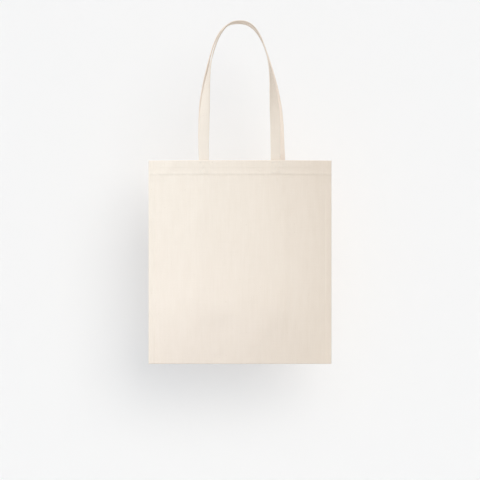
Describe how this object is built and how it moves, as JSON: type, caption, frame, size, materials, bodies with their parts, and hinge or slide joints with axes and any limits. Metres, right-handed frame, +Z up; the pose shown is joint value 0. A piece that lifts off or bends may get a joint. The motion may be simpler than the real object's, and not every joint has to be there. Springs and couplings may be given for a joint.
{
  "type": "canvas tote bag",
  "caption": "Flat open-topped canvas tote bag with a turned hem and two long strap handles sewn inside the hem, hanging empty.",
  "frame": {"origin": "where the bag hangs: the underside of the two handle crowns, at the middle of the bag's width and depth", "axes": "+Z up, from the bottom seam to the handles; -Y out of the front panel; +X to the right as seen from the front"},
  "size_m": [0.378, 0.0444, 0.7076],
  "materials": {
    "canvas": "matte unbleached plain-weave cotton canvas",
    "strap_canvas": "matte folded canvas strap",
    "seam_thread": "natural cotton sewing thread",
    "overlock_thread": "soft natural overlock thread"
  },
  "bodies": {
    "seams": {"left_seam_allowance": "canvas", "right_seam_allowance": "canvas", "bottom_seam_allowance": "canvas", "left_overlock_thread": "overlock_thread", "right_overlock_thread": "overlock_thread", "bottom_overlock_thread": "overlock_thread", "left_seam_stitching": "seam_thread", "right_seam_stitching": "seam_thread", "bottom_seam_stitching": "seam_thread"},
    "front": {"front_panel": "canvas", "front_hem_stitching": "seam_thread", "front_handle_left_end": "strap_canvas", "front_handle_right_end": "strap_canvas", "front_left_box_stitch": "seam_thread", "front_right_box_stitch": "seam_thread"},
    "front_handle": {"front_handle": "strap_canvas", "front_handle_outer_edge_stitching": "seam_thread", "front_handle_inner_edge_stitching": "seam_thread"},
    "back": {"back_panel": "canvas", "back_hem_stitching": "seam_thread", "back_handle_left_end": "strap_canvas", "back_handle_right_end": "strap_canvas", "back_left_box_stitch": "seam_thread", "back_right_box_stitch": "seam_thread"},
    "back_handle": {"back_handle": "strap_canvas", "back_handle_outer_edge_stitching": "seam_thread", "back_handle_inner_edge_stitching": "seam_thread"}
  },
  "joints": [
    {"name": "front_panel_tilt", "type": "hinge", "parent": "seams", "child": "front", "pos_m": [0, 0, -0.705], "axis": [1, 0, 0], "range_deg": [0, 5], "stiffness_Nm_per_rad": 0.5, "springref_deg": -2.86},
    {"name": "back_panel_tilt", "type": "hinge", "parent": "seams", "child": "back", "pos_m": [0, 0, -0.705], "axis": [-1, 0, 0], "range_deg": [0, 5], "stiffness_Nm_per_rad": 0.5, "springref_deg": -2.86},
    {"name": "front_handle_swing", "type": "hinge", "parent": "front", "child": "front_handle", "pos_m": [0, -0.0149, -0.285], "axis": [1, 0, 0], "range_deg": [0, 174]},
    {"name": "back_handle_swing", "type": "hinge", "parent": "back", "child": "back_handle", "pos_m": [0, 0.0149, -0.285], "axis": [-1, 0, 0], "range_deg": [0, 174]}
  ],
  "couplings": [
    {"joint": "back_panel_tilt", "follows": "front_panel_tilt", "ratio": 1}
  ]
}
